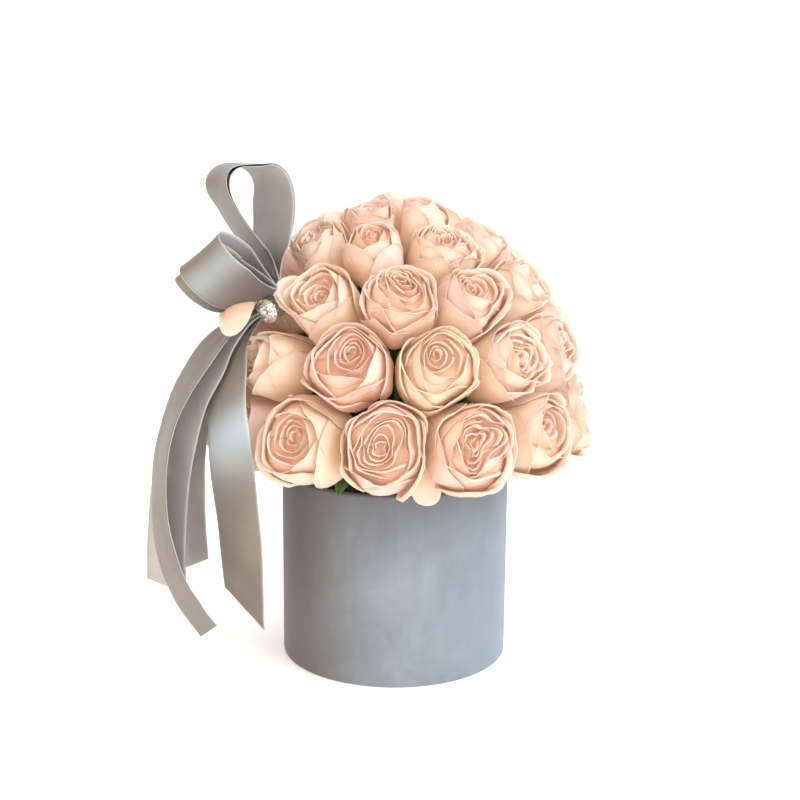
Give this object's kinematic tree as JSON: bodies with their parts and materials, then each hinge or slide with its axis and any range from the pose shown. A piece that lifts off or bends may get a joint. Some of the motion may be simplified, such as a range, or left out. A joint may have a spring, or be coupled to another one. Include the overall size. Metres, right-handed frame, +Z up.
{
  "type": "flower hat box",
  "caption": "Round grey velvet hat box holding a dome of peach roses in floral foam, with a satin ribbon bow and long hanging tails.",
  "frame": {"origin": "centre of the underside of the box, on the surface that it stands on", "axes": "+Z up, -Y towards the front, which is the side shown, and +X to the right, with the bow at the front left"},
  "size_m": [0.2995, 0.2723, 0.3469],
  "materials": {
    "rose_petals": "soft matte peach petals with paler rims and deeper salmon folds",
    "green_leaf": "dark green leaf, half gloss",
    "grey_velvet": "short mottled grey velvet nap",
    "grey_board": "plain uncoated greyboard",
    "clear_film": "clear waterproof film",
    "wet_foam": "soaked dark green floral foam, finely open-celled",
    "satin_ribbon": "mauve-grey satin, glossy outside, matte inside, with fine pale selvedges",
    "cut_stones": "clear to champagne cut stones in a pale metal cup",
    "pale_wood": "plain split wood pick"
  },
  "bodies": {
    "root": {"rose_a01": "rose_petals", "rose_a02": "rose_petals", "rose_a03": "rose_petals", "rose_a04": "rose_petals", "rose_a05": "rose_petals", "rose_a06": "rose_petals", "rose_a07": "rose_petals", "rose_a08": "rose_petals", "rose_a09": "rose_petals", "rose_a10": "rose_petals", "rose_a11": "rose_petals", "rose_a12": "rose_petals", "rose_b01": "rose_petals", "rose_b02": "rose_petals", "rose_b03": "rose_petals", "rose_b04": "rose_petals", "rose_b05": "rose_petals", "rose_b06": "rose_petals", "rose_b07": "rose_petals", "rose_b08": "rose_petals", "rose_b09": "rose_petals", "rose_b10": "rose_petals", "rose_b11": "rose_petals", "rose_c01": "rose_petals", "rose_c02": "rose_petals", "rose_c03": "rose_petals", "rose_c04": "rose_petals", "rose_c05": "rose_petals", "rose_c06": "rose_petals", "rose_c07": "rose_petals", "rose_c08": "rose_petals", "rose_c09": "rose_petals", "rose_c10": "rose_petals", "rose_d01": "rose_petals", "rose_d02": "rose_petals", "rose_d03": "rose_petals", "rose_d04": "rose_petals", "rose_d05": "rose_petals", "rose_d06": "rose_petals", "rose_d07": "rose_petals", "rose_e01": "rose_petals", "rose_e02": "rose_petals", "rose_e03": "rose_petals", "velvet_cover": "grey_velvet", "box_tube": "grey_board", "box_floor": "grey_board", "plastic_liner": "clear_film", "floral_foam": "wet_foam", "bow_loop_up_inner": "satin_ribbon", "bow_loop_up_outer": "satin_ribbon", "bow_loop_side_outer": "satin_ribbon", "bow_loop_side_inner": "satin_ribbon", "bow_tail_front": "satin_ribbon", "bow_tail_inner": "satin_ribbon", "bow_tail_back": "satin_ribbon", "bow_tail_curl": "satin_ribbon", "bow_knot": "satin_ribbon", "brooch": "cut_stones", "bow_pick": "pale_wood", "leaf_at_rim": "green_leaf"}
  },
  "joints": []
}
